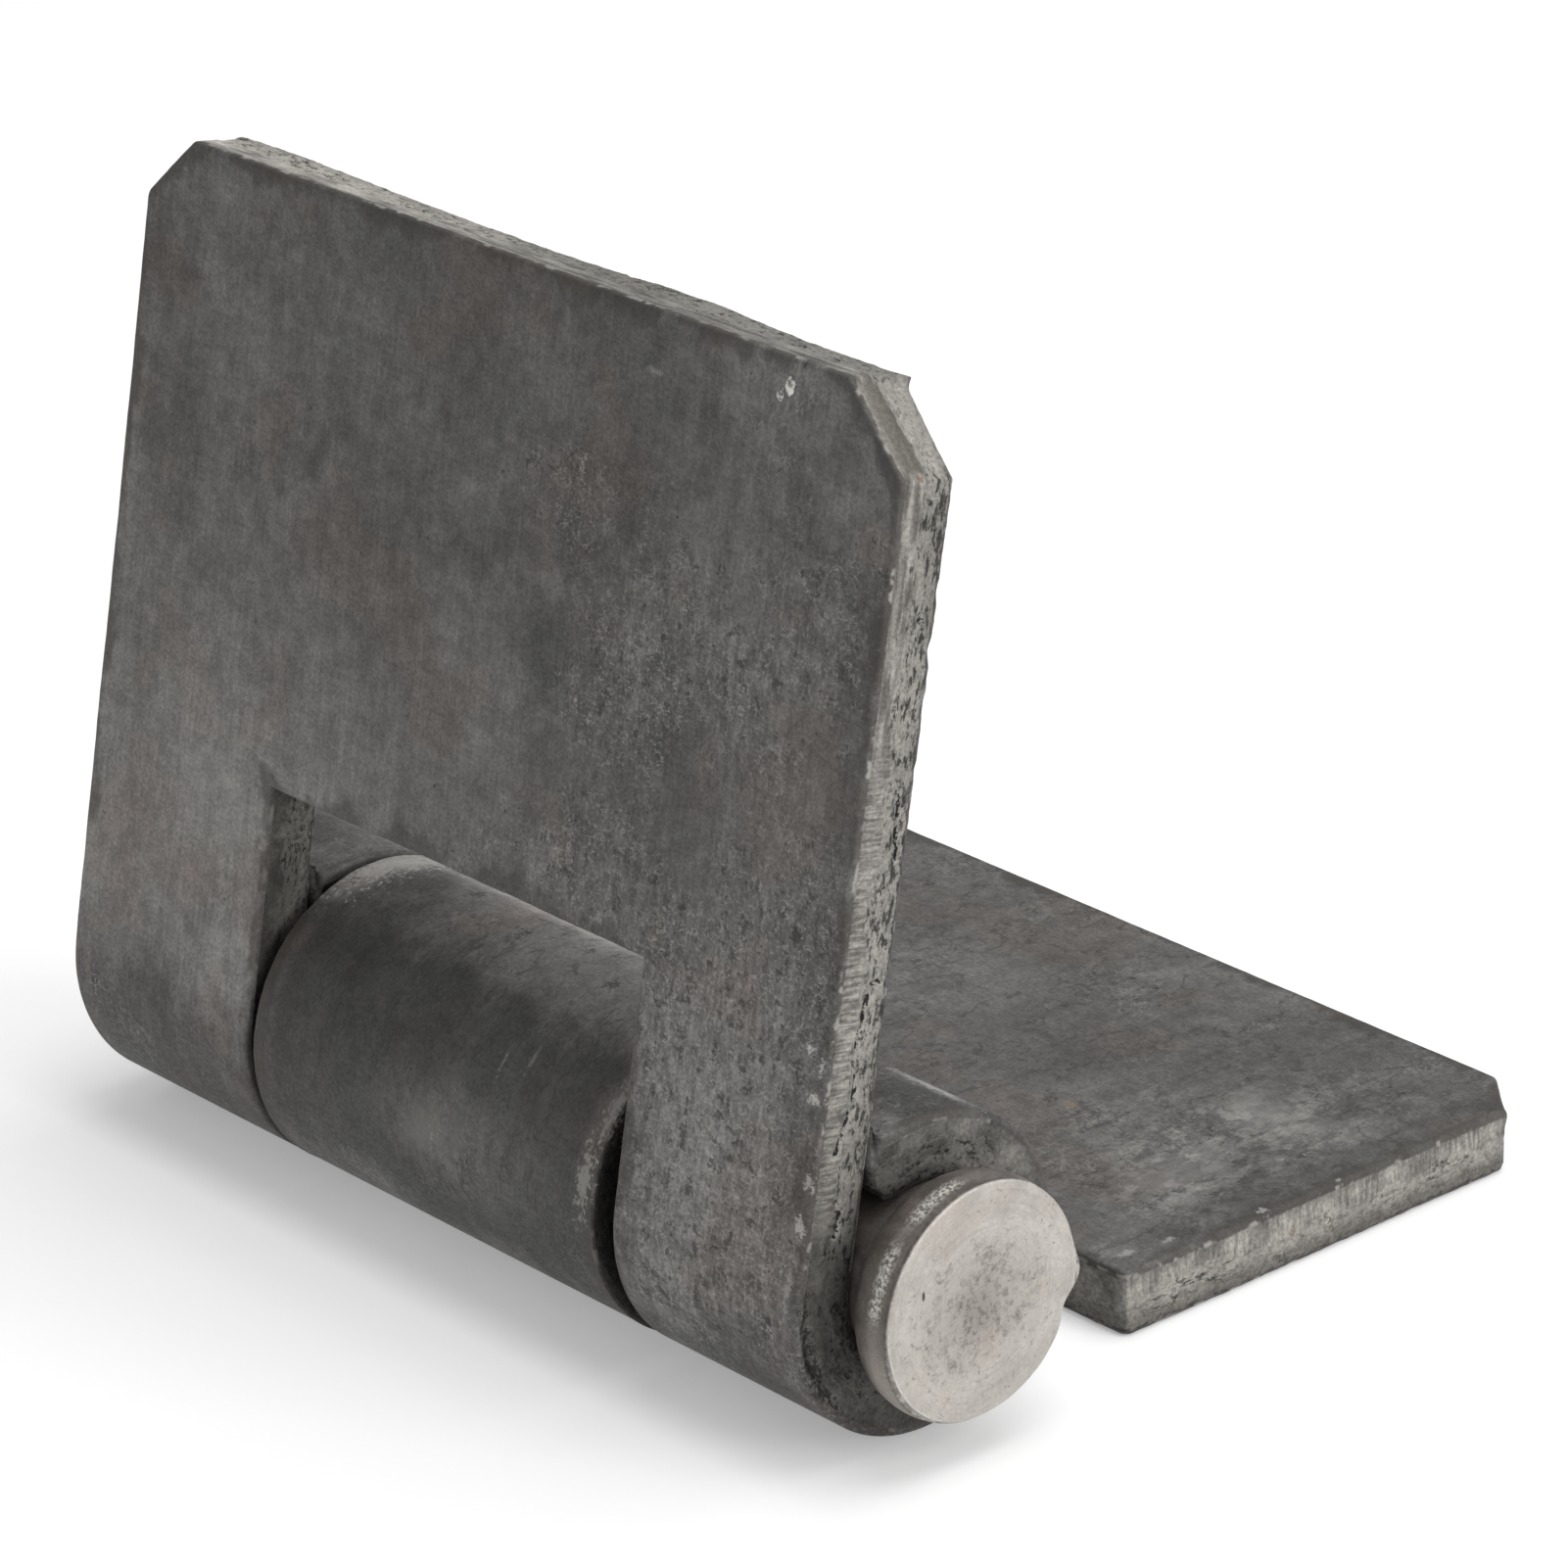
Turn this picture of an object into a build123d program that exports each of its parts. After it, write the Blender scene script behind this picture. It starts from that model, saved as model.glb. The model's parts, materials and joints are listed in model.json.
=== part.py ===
from build123d import *
from math import cos, radians, sin
import os

# A weld-on butt hinge: two leaves cut from hot-rolled plate. The inner edge of each leaf is rolled
# round a headed pin, into two knuckles on one leaf and one knuckle between them on the other.
# +X runs along the pin, +Y out along the leaf that lies flat, +Z up from that leaf's weld face.
# The origin is the middle of that weld face, where the leaf has its full length.

# Driving dimensions, in millimetres and degrees
plate = 4.55  # thickness of both leaves, 7 gauge
leaf_length = 76.2  # along the pin
leaf_reach = 58.6  # from the pin's axis to a leaf's outer edge
swing_corner_cut = 5.0  # 45 degree cut on the swinging leaf's outer corners
fixed_corner_cut = 4.2  # the same on the leaf that lies flat
open_angle = 80.0  # between the two leaves as the hinge stands

pin_diameter = 12.7
pin_clearance = 0.25  # between the pin and the knuckles, all round
curl = 285.0  # how far round the pin the plate is rolled, short of closing on itself
lead_length = 3.0  # straight stretch that the rolling leaves at the end of the curl

middle_knuckle = 36.2  # length of the single knuckle
knuckle_gap = 1.3  # at each end of the single knuckle, when it is centred
knuckle_shift = 0.65  # of the notch and the single knuckle, off the middle of their leaves
leaf_float = 0.45  # of the swinging leaf along the pin, within the knuckle gaps
notch_reach = 17.1  # from the pin's axis to the floor of the swinging leaf's notch
relief_reach = 18.3  # from the pin's axis to the floors of the flat leaf's end reliefs
rollover = 0.45  # bevel that the shear leaves round a leaf's outer face

head_diameter = 16.7
head_thickness = 4.4
head_back_round = 1.2
head_rim_round = 0.8
dish_diameter = 12.6  # shallow hollow in the face of the head
dish_depth = 0.35
end_play = 0.9  # under the head
tail_diameter = 16.2  # far end of the pin, upset after assembly
tail_thickness = 2.6
tail_round = 1.4
tail_gap = 0.1  # under the upset end

# Sizes that follow from them
pin_radius = pin_diameter / 2
bore_radius = pin_radius + pin_clearance
knuckle_radius = bore_radius + plate
notch_length = middle_knuckle + 2 * knuckle_gap
flat_middle = (relief_reach + leaf_reach) / 2
head_overhang = head_diameter / 2 - pin_radius
past_the_knuckle = 2 * knuckle_radius

# Planes through the pin's axis. A section plane is square to the pin, with its first axis out along
# the leaf and its second from the weld face to the inner face. A blank plane is flat on the leaf.
flat_centre = (0, -flat_middle, knuckle_radius)
swing_centre = (leaf_float, -flat_middle, knuckle_radius)
swing_out = (0, cos(radians(open_angle)), sin(radians(open_angle)))
swing_face = (0, -sin(radians(open_angle)), cos(radians(open_angle)))

flat_section = Plane(flat_centre, x_dir=(0, 1, 0), z_dir=(1, 0, 0))
flat_blank = Plane(flat_centre, x_dir=(1, 0, 0), z_dir=(0, 0, 1))
swing_section = Plane(swing_centre, x_dir=swing_out, z_dir=(-1, 0, 0))
swing_blank = Plane(swing_centre, x_dir=(1, 0, 0), z_dir=swing_face)
pin_section = Plane(swing_centre, x_dir=(1, 0, 0), z_dir=(0, -1, 0))


def rolled_section():
    """The end view of a leaf: a straight plate that runs on into a knuckle with an open seam."""
    with BuildSketch() as section:
        with BuildLine():
            inside = CenterArc((0, 0), bore_radius, -90, -curl)
            outside = CenterArc((0, 0), knuckle_radius, -90, -curl)
            inner_lead = Line(inside @ 1, inside @ 1 + (inside % 1) * lead_length)
            outer_lead = Line(outside @ 1, outside @ 1 + (outside % 1) * lead_length)
            Line(inner_lead @ 1, outer_lead @ 1)
            Polyline(
                outside @ 0,
                (leaf_reach, -knuckle_radius),
                (leaf_reach, -bore_radius),
                inside @ 0,
            )
        make_face()
    return section.sketch


def cut_plate(corner_cut):
    """The face view of a leaf before its knuckles are separated, with the outer corners cut off."""
    with BuildSketch() as blank:
        with Locations((0, leaf_reach)):
            Rectangle(leaf_length, leaf_reach + past_the_knuckle, align=(Align.CENTER, Align.MAX))
        chamfer(blank.vertices().group_by(Axis.Y)[-1], corner_cut)
    return blank.sketch


def outside_rim(leaf, centre):
    """The edges round the weld face and round the outside of the knuckles it runs on into."""
    skin = leaf.faces().filter_by(lambda face: abs(reach_of(face, centre) - knuckle_radius) < rollover / 10)
    edges = skin.edges()
    return [edge for edge in edges if sum(edge.is_same(other) for other in edges) == 1]


def reach_of(face, centre):
    """How far a face stands off the pin's axis, square to itself."""
    return (face.center() - Vector(centre)).dot(face.normal_at())


def round_corner(profile, corner, radius):
    """Round the corner of a profile that lies nearest to a point."""
    fillet(profile.vertices().sort_by_distance(corner)[0], radius)


# The leaf that lies flat, with one knuckle between two end reliefs
with BuildPart() as fixed_leaf:
    with BuildSketch(flat_section):
        add(rolled_section())
    extrude(amount=leaf_length / 2, both=True)
    with BuildSketch(flat_blank):
        add(cut_plate(fixed_corner_cut))
        with Locations((knuckle_shift - middle_knuckle / 2, relief_reach)):
            Rectangle(leaf_length, leaf_length, align=(Align.MAX, Align.MAX), mode=Mode.SUBTRACT)
        with Locations((knuckle_shift + middle_knuckle / 2, relief_reach)):
            Rectangle(leaf_length, leaf_length, align=(Align.MIN, Align.MAX), mode=Mode.SUBTRACT)
    extrude(amount=past_the_knuckle, both=True, mode=Mode.INTERSECT)
    chamfer(outside_rim(fixed_leaf, flat_centre), rollover)

fixed_leaf.part.label = "fixed_leaf"

# The leaf that swings, with two knuckles either side of a notch
with BuildPart() as swing_leaf:
    with BuildSketch(swing_section):
        add(rolled_section())
    extrude(amount=leaf_length / 2, both=True)
    with BuildSketch(swing_blank):
        add(cut_plate(swing_corner_cut))
        with Locations((knuckle_shift, notch_reach)):
            Rectangle(notch_length, leaf_length, align=(Align.CENTER, Align.MAX), mode=Mode.SUBTRACT)
    extrude(amount=past_the_knuckle, both=True, mode=Mode.INTERSECT)
    chamfer(outside_rim(swing_leaf, swing_centre), rollover)

swing_leaf.part.label = "swing_leaf"

# The pin, with a formed head at the near end and an upset end that keeps it in
head_seat = leaf_length / 2 + end_play
head_face = head_seat + head_thickness
tail_seat = -leaf_length / 2 - tail_gap
tail_face = tail_seat - tail_thickness

with BuildPart() as hinge_pin:
    with BuildSketch(pin_section) as pin_profile:
        with BuildLine():
            dish = TangentArc((head_face - dish_depth, 0), (head_face, dish_diameter / 2), tangent=(0, 1))
            Polyline(
                dish @ 1,
                (head_face, head_diameter / 2),
                (head_seat, head_diameter / 2),
                (head_seat, pin_radius),
                (tail_seat, pin_radius),
                (tail_seat, tail_diameter / 2),
                (tail_face, tail_diameter / 2),
                (tail_face, 0),
                dish @ 0,
            )
        make_face()
        round_corner(pin_profile, (head_face, head_diameter / 2), head_rim_round)
        back_round = min(head_back_round, 0.8 * head_overhang)  # leaves some of the seat flat
        round_corner(pin_profile, (head_seat, head_diameter / 2), back_round)
        round_corner(pin_profile, (tail_face, tail_diameter / 2), tail_round)
    revolve(axis=Axis(swing_centre, (1, 0, 0)))

hinge_pin.part.label = "hinge_pin"

os.makedirs("parts", exist_ok=True)
export_step(fixed_leaf.part, "parts/fixed_leaf.step")
export_step(swing_leaf.part, "parts/swing_leaf.step")
export_step(hinge_pin.part, "parts/hinge_pin.step")
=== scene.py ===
# %% [markdown]
# # A weld-on butt hinge in mill-finish steel
#
# Two leaves are sheared from hot-rolled plate, and the tongues along their inner edges are rolled
# round a headed pin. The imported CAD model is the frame: it gives the pin's axis, the size of the
# leaves and how far the hinge stands open. Everything drawn here sits in that frame, in metres.

# %% Load the frame
import json
from math import atan2, cos, degrees, exp, hypot, pi, radians, sin, tan

import bmesh
import bpy
from mathutils import Matrix, Vector, geometry, noise


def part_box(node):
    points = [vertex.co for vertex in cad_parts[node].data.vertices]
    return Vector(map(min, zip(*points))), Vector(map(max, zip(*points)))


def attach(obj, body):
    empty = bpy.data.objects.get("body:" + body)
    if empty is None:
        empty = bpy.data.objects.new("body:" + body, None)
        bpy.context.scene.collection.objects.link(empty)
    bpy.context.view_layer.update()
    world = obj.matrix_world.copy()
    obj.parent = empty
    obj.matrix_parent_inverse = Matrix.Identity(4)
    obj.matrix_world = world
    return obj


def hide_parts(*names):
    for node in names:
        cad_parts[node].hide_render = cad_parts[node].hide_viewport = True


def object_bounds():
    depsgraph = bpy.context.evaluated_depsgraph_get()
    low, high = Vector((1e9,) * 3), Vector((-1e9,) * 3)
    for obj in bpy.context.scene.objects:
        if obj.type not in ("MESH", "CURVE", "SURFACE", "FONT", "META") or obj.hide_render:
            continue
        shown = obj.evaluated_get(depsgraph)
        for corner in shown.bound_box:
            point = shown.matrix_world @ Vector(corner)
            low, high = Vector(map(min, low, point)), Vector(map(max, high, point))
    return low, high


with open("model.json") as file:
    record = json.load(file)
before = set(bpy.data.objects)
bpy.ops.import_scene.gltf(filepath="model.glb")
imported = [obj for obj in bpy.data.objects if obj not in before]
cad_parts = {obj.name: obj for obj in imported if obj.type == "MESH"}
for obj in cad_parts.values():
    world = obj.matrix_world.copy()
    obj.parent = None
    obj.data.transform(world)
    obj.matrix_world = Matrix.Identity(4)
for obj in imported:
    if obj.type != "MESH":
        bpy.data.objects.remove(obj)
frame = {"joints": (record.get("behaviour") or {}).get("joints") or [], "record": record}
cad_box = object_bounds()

print("CAD box", [round(v, 5) for corner in cad_box for v in corner])

# %% [markdown]
# ## Sizes from the frame
#
# A hinge is drawn from its pin outwards, so the joint's own axis is the first thing to read. The
# fixed leaf lies on the floor, which makes the height of the pin the outside radius of the
# knuckles. The direction that each weld face looks in comes from the two mounts. The sheared
# blanks are drawn in millimetres, as on a shop drawing, and become metres when they are placed.

# %% Pin axis, leaf sizes and directions
MM = 0.001

swing_joint = next(joint for joint in frame["joints"] if joint["name"] == "leaf_swing")
mounts = {mount["name"]: mount for mount in frame["record"]["mounts"]}
pin_axis = Vector(swing_joint["pos_m"])
fixed_low, fixed_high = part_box("fixed_leaf")
pin_low, pin_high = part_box("hinge_pin")

leaf_length = (fixed_high.x - fixed_low.x) / MM
leaf_reach = (fixed_high.y - pin_axis.y) / MM
knuckle_radius = pin_axis.z / MM
plate = 4.55
middle_radius = knuckle_radius - plate / 2

print(f"leaf {leaf_length:.2f} by {leaf_reach:.2f} mm, knuckles {2 * knuckle_radius:.2f} mm across")

# %% [markdown]
# ## The camera
#
# The camera comes first, so that every later step can be looked at from the photographer's place.
# A long lens stands about half a metre away, a little above the hinge. Its three directions make
# the columns of a rotation matrix: a Blender camera looks along its own -Z, with +Y up.

# %% Camera
camera_place = Vector((0.33502, -0.31169, 0.21578))
camera_right = Vector((0.66584, 0.74598, -0.01317))
camera_look = Vector((-0.69055, 0.60950, -0.38941))
camera_lens = 161.67

camera_data = bpy.data.cameras.new("camera")
camera_data.lens = camera_lens
camera_data.sensor_width = 36.0
camera_data.clip_start = 0.01
camera = bpy.data.objects.new("camera", camera_data)
camera_up = camera_right.cross(camera_look).normalized()
camera.matrix_world = Matrix((camera_right, camera_up, -camera_look)).transposed().to_4x4()
camera.location = camera_place
bpy.context.scene.collection.objects.link(camera)
bpy.context.scene.camera = camera
print("camera stands", round((camera_place - pin_axis).length, 3), "m from the pin")

# %% [markdown]
# ## The outline of a blank
#
# Before it is rolled, a leaf is a flat blank: a rectangle with two corners cut off and tongues
# along the inner edge. It can be drawn flat with a dozen corners, in x along the pin and s out
# along the plate, with s = 0 where the plate will leave its knuckle. Drawing it flat is simpler
# than modelling the curl, and it is how the real leaf starts. A tongue is as long as the middle of
# the rolled plate, so nothing stretches when it is bent.

# %% Two blank outlines
curl = radians(285.0)
lead = 3.7
tongue = curl * middle_radius + lead

half = leaf_length / 2
knuckle_shift = 0.65
middle_knuckle = 36.2
knuckle_gap = 1.3
notch_half = middle_knuckle / 2 + knuckle_gap
notch_reach = 17.1
relief_reach = 18.3
swing_cuts = ((5.7, 5.3), (4.5, 4.5))
fixed_cuts = ((4.2, 3.6), (4.2, 4.2))


def outer_edge(right_cut, left_cut):
    """The outer edge of a leaf from right to left, with its corners cut off along x and s."""
    return [
        (half, leaf_reach - right_cut[1]),
        (half - right_cut[0], leaf_reach),
        (left_cut[0] - half, leaf_reach),
        (-half, leaf_reach - left_cut[1]),
    ]


def tongue_between(left, right):
    """The two free corners of a tongue, from left to right."""
    return [(left, -tongue), (right, -tongue)]


notch_left, notch_right = knuckle_shift - notch_half, knuckle_shift + notch_half
single_left = knuckle_shift - middle_knuckle / 2
single_right = knuckle_shift + middle_knuckle / 2

swing_outline = outer_edge(*swing_cuts) + tongue_between(-half, notch_left)
swing_outline += [(notch_left, notch_reach), (notch_right, notch_reach)]
swing_outline += tongue_between(notch_right, half)

fixed_outline = outer_edge(*fixed_cuts) + [(-half, relief_reach), (single_left, relief_reach)]
fixed_outline += tongue_between(single_left, single_right)
fixed_outline += [(single_right, relief_reach), (half, relief_reach)]
print(len(swing_outline), "corners on the swinging leaf,", len(fixed_outline), "on the fixed one")

# %% [markdown]
# ## From an outline to a sheared plate
#
# The outline is filled as one face. Three insets give it borders that later carry the rounded edge
# and its wear, and they mitre cleanly because the outline still has only its true corners. Cuts
# across the tongues are the lines on which the plate will bend. Then the edges and the borders
# beside them are divided finely, the sheet is extruded to the plate's thickness, and its walls are
# divided into layers. The big faces stay single flat polygons, so the detail is where it shows.

# %% Divide an outline and give it thickness
borders = (1.3, 0.5, 0.9)
bend_step = radians(1.5)
bends = round(curl / bend_step)
grain = 0.25
rollover_layers = 4
wall_layers = 20
print(bends, "bends on a tongue and", wall_layers, "layers in a wall")


def row_beside(edge):
    """An edge of the outline, with the edges that run beside it on each border."""
    row = [edge]
    face = edge.link_faces[0]
    for _ in borders:
        row.append(next(e for e in face.edges if not set(e.verts) & set(row[-1].verts)))
        face = next(f for f in row[-1].link_faces if f is not face)
    return row


def sheared_plate(outline):
    """A flat plate with finely divided walls, from z = 0 at its weld face to the inner face."""
    bm = bmesh.new()
    middle = [bm.faces.new([bm.verts.new((x, s, 0)) for x, s in outline])]
    bm.normal_update()
    for width in borders:
        bmesh.ops.inset_region(
            bm, faces=middle, thickness=width, use_boundary=True, use_even_offset=True
        )
    for k in range(bends + 1):
        whole = bm.verts[:] + bm.edges[:] + bm.faces[:]
        line = (0, -k * curl / bends * middle_radius, 0)
        bmesh.ops.bisect_plane(bm, geom=whole, dist=1e-5, plane_co=line, plane_no=(0, 1, 0))
    for edge in [e for e in bm.edges if e.is_boundary]:
        cuts = round(edge.calc_length() / grain) - 1
        if cuts > 0:
            bmesh.ops.subdivide_edges(bm, edges=row_beside(edge), cuts=cuts)
    bm.normal_update()
    mark_edge_directions(bm)
    raised = bmesh.ops.extrude_face_region(bm, geom=bm.faces[:], use_keep_orig=True)["geom"]
    raised = [v for v in raised if isinstance(v, bmesh.types.BMVert)]
    bmesh.ops.translate(bm, verts=raised, vec=(0, 0, plate))
    upright = [e for e in bm.edges if abs(e.verts[0].co.z - e.verts[1].co.z) > plate / 2]
    bmesh.ops.subdivide_edges(bm, edges=upright, cuts=wall_layers - 1)
    return bm


def mark_edge_directions(bm):
    """Write on each outline vertex the way out of the plate, and on the rest how far in they lie."""
    way_out = bm.verts.layers.float_vector.new("way_out")
    inset = bm.verts.layers.float.new("inset")
    ring = [v for v in bm.verts if v.is_boundary]
    for vert in ring:
        edges = [e for e in vert.link_edges if e.is_boundary]
        ways = [outward(e) for e in edges]
        vert[way_out] = (ways[0] + ways[1]) / (1 + ways[0].dot(ways[1]))
    reached, depth = set(ring), 0.0
    for width in borders:
        depth += width
        ring = {e.other_vert(v) for v in ring for e in v.link_edges} - reached
        for vert in ring:
            vert[inset] = depth
        reached |= ring
    for vert in set(bm.verts) - reached:
        vert[inset] = depth


def outward(edge):
    """Square to an outline edge, in the plane of the sheet and away from its face."""
    loop = edge.link_loops[0]
    ahead = loop.link_loop_next.vert.co - loop.vert.co
    return ahead.cross(loop.face.normal).normalized()


# %% [markdown]
# ## The sheared edge
#
# A shear leaves the same edge on every thick plate. The face under the blade is drawn down into a
# soft round, then comes a burnished band where the blade slid past, then a torn band where the
# plate broke away, with a ragged lip at the far side. The walls already have their layers, so this
# edge is made by moving each wall point in or out along its own way out of the plate. The standing
# leaf was cut from its weld face, and the lying one from the other side. Dents, lips and cracks
# that the photograph shows are added one by one at their places.

# %% Shape the walls
flat_round = (0.32, 0.36)
bend_round = (0.3, 0.55)
tip_round = (1.5, 2.2)
tip_nose = 0.8
burnished = 0.42
far_away = 9.0
print(f"walls burnished for {burnished * plate:.2f} mm of their {plate} mm")


def soft_step(value, low, high):
    """0 below low, 1 above high, and a smooth rise between."""
    part = min(max((value - low) / (high - low), 0.0), 1.0)
    return part * part * (3 - 2 * part)


def edge_round(s):
    """Width and depth of the drawn-down edge at a distance along the plate."""
    rolled = soft_step(-s, -2.0, 8.0)
    sizes = [a + (b - a) * rolled for a, b in zip(flat_round, bend_round)]
    return [a + (b - a) * at_tip(s) for a, b in zip(sizes, tip_round)]


def at_tip(s):
    """1 at the free end of a tongue, and 0 away from it."""
    return soft_step(-s, tongue - 1.0, tongue - 0.1)


def corner_fillets(outline, radii):
    """The circles that round some corners of an outline: corner, reach, centre and radius."""
    made = []
    for k, radius in radii.items():
        corner = Vector(outline[k])
        before = (Vector(outline[k - 1]) - corner).normalized()
        after = (Vector(outline[(k + 1) % len(outline)]) - corner).normalized()
        half_angle = before.angle(after) / 2
        centre = corner + (before + after).normalized() * (radius / sin(half_angle))
        made.append((corner, radius / tan(half_angle), centre, radius))
    return made


def torn(x, s, depth):
    """How far the broken part of the wall falls back: a rough slope with long tears in it."""
    rough = noise.noise((1.1 * x, 1.1 * s, 2.4 * depth)) + 0.6 * noise.noise((3 * x, 3 * s, 5 * depth))
    tears = soft_step(noise.noise((0.4 * x + 11, 0.4 * s, 1.5 * depth)), 0.2, 0.5)
    return 0.1 + 0.045 * rough + 0.1 * tears


def dented(x, s, depth, dents):
    """How far the wall falls back at the dents listed by place, reach, depth, spread and amount."""
    back = 0.0
    for place, reach, middle, spread, amount in dents:
        away = hypot(x - place[0], s - place[1]) / reach
        back += amount * exp(-away * away - ((depth - middle) / spread) ** 2)
    return back


def from_crack(s, depth, cracks):
    """How far a wall point is from the nearest crack, which is a line of (s, depth) points."""
    here, nearest = Vector((s, depth)), far_away
    for crack in cracks:
        for start, end in zip(crack, crack[1:]):
            _, part = geometry.intersect_point_line(here, start, end)
            foot = Vector(start).lerp(Vector(end), min(max(part, 0.0), 1.0))
            nearest = min(nearest, (foot - here).length)
    return nearest


# %% Shear every wall of a blank
crack_width = 0.2
crack_depth = 0.25
lip_start = 0.86
nose_start = 0.65
print("cracks", crack_width, "mm wide and", crack_depth, "mm deep")


def shear_edges(bm, fillets, dents, pulls, cracks, tear, lip_round, from_inside):
    """Move the wall points to a sheared profile, and write how far each point is from the cut."""
    way_out = bm.verts.layers.float_vector["way_out"]
    inset = bm.verts.layers.float["inset"]
    from_cut = bm.verts.layers.float.new("from_cut")
    into_cut = bm.verts.layers.float.new("into_cut")
    crack_away = bm.verts.layers.float.new("crack_away")
    for vert in bm.verts:
        x, s, z = vert.co
        way = vert[way_out].copy()
        vert[crack_away] = far_away
        wide, deep = edge_round(s)
        layer = round(z / plate * wall_layers)
        if from_inside:
            layer = wall_layers - layer
        if way.length < 0.5:
            vert[into_cut] = layer / wall_layers * plate
            vert[from_cut] = -vert[inset] - (0 if layer else deep / 2)
            continue
        quarter = pi / 2 * min(layer / rollover_layers, 1)
        below = max(layer - rollover_layers, 0) / (wall_layers - rollover_layers)
        depth = deep * (1 - cos(quarter)) + below * (plate - deep)
        vert[into_cut] = depth
        vert[from_cut] = min(depth - deep, plate - depth)
        if cracks and x > half - 0.1:
            vert[crack_away] = from_crack(s, depth, cracks)
        ragged_line = burnished + 0.1 + 0.08 * noise.noise((0.3 * x, 0.3 * s, 4))
        back = wide * (1 - sin(quarter)) + crack_depth * exp(-((vert[crack_away] / crack_width) ** 2))
        back += soft_step(depth / plate, burnished, ragged_line) * tear * torn(x, s, depth)
        back += lip_round * soft_step(depth / plate, lip_start, 1.0) ** 2
        back += tip_nose * at_tip(s) * soft_step(depth / plate, nose_start, 1.0) ** 2
        back += 0.05 * noise.noise((0.22 * x, 0.22 * s, 1)) + 0.025 * noise.noise((0.9 * x, 0.9 * s, 2))
        back += dented(x, s, depth, dents)
        if layer == wall_layers:
            depth += 0.04 + 0.04 * noise.noise((1.5 * x, 1.5 * s, 9))
        flat = Vector((x, s))
        for corner, reach, centre, radius in fillets:
            if (flat - corner).length < reach:
                ray = (flat - centre).normalized()
                flat, way = centre + ray * radius, ray.to_3d()
        vert.co = Vector((*flat, plate - depth if from_inside else depth)) - way * back
        for place, reach, pull in pulls:
            away = hypot(x - place[0], s - place[1], depth - place[2]) / reach
            vert.co += Vector(pull) * exp(-away * away)


# %% [markdown]
# ## Rolling the tongues
#
# With the edges made, the flat blank is rolled as the real one is. Every point past s = 0 turns
# round the pin by its distance along the plate, at a radius set by its depth in the plate, and the
# last stretch of the tongue stays straight because the roll can't grip it. Spinning a section
# round the axis would give the same curl, but bending the blank also carries its edges and its
# flat coordinates along. Those are kept as an attribute, so the finish can follow the sheet.

# %% Roll a blank and place it
along_pin = Vector((1, 0, 0))
print(f"a tongue of {tongue:.1f} mm rolls through {degrees(curl):.0f} degrees")


def roll(bm):
    """Bend the tongues of a blank round the pin. The axis of the pin becomes the origin."""
    for vert in bm.verts:
        x, s, depth = vert.co
        if s >= 0:
            vert.co = (x, s, depth - knuckle_radius)
            continue
        turn = min(-s / middle_radius, curl)
        past = max(-s - curl * middle_radius, 0.0)
        radius = knuckle_radius - depth
        out = -radius * sin(turn) - past * cos(turn)
        up = -radius * cos(turn) + past * sin(turn)
        vert.co = (x, out, up)


def leaf_matrix(mount):
    """From a rolled blank in millimetres to its place on the pin, in metres."""
    into_plate = -Vector(mount["axis"])
    out = into_plate.cross(along_pin)
    if out.dot(Vector(mount["pos_m"]) - pin_axis) < 0:
        out.negate()
    turned = Matrix((along_pin, out, into_plate)).transposed().to_4x4()
    start = pin_axis + along_pin * mount["pos_m"][0]
    return Matrix.Translation(start) @ turned @ Matrix.Scale(MM, 4)


def keep_sheet_place(bm, place_on_sheet):
    """Write on each point where it lay on the flat sheet, in millimetres."""
    sheet = bm.verts.layers.float_vector.new("sheet")
    for vert in bm.verts:
        vert[sheet] = vert.co + place_on_sheet


def finished_object(name, bm, sharp_angle=50):
    """A mesh object with its normals outward, smooth except across sharp edges."""
    bmesh.ops.recalc_face_normals(bm, faces=bm.faces[:])
    for face in bm.faces:
        face.smooth = True
    for edge in bm.edges:
        edge.smooth = edge.calc_face_angle(0.0) < radians(sharp_angle)
    mesh = bpy.data.meshes.new(name)
    bm.to_mesh(mesh)
    bm.free()
    made = bpy.data.objects.new(name, mesh)
    bpy.context.scene.collection.objects.link(made)
    print(name, "has", len(mesh.vertices), "points and", len(mesh.polygons), "faces")
    return made


# %% [markdown]
# ## The two leaves
#
# Only the walls on the outside of a leaf are bright. Those of the notch, of the end reliefs and
# round the knuckles are dulled by the rolling, and the ends that face each other in the gaps are
# nearly black, partly dull and partly painted shade. The walls round the knuckles near the pin take
# painted shade too, so each wall point is told how fresh and how unshaded its cut is. The corners
# are a little rounded, a small lip of metal hangs from the upper right one where it was cropped, the
# left knuckle bulges where it was bent, and its edge on the right is cracked and torn.

# %% Make the leaves
def tell_fresh_unshaded_cuts(bm):
    """Write how fresh and unshaded the cut is: 1 on the outer walls, 0 on the ends that face each other,
    which are painted dark as shade in the gaps.
    """
    way_out = bm.verts.layers.float_vector["way_out"]
    fresh_unshaded = bm.verts.layers.float.new("fresh_unshaded")
    for vert in bm.verts:
        x, s, _ = vert.co
        if vert[way_out].y < -0.5:
            vert[fresh_unshaded] = 0.25 + 0.3 * soft_step(s, 0.0, 9.0)
        elif abs(x) < half - 8 and s < leaf_reach - 8:
            vert[fresh_unshaded] = 0.5 * soft_step(s, 1.0, 9.0)
        else:
            vert[fresh_unshaded] = 0.32 + 0.68 * soft_step(s, 0.0, 9.0) + 0.2 * soft_step(-s, 22.0, 34.0)


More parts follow.
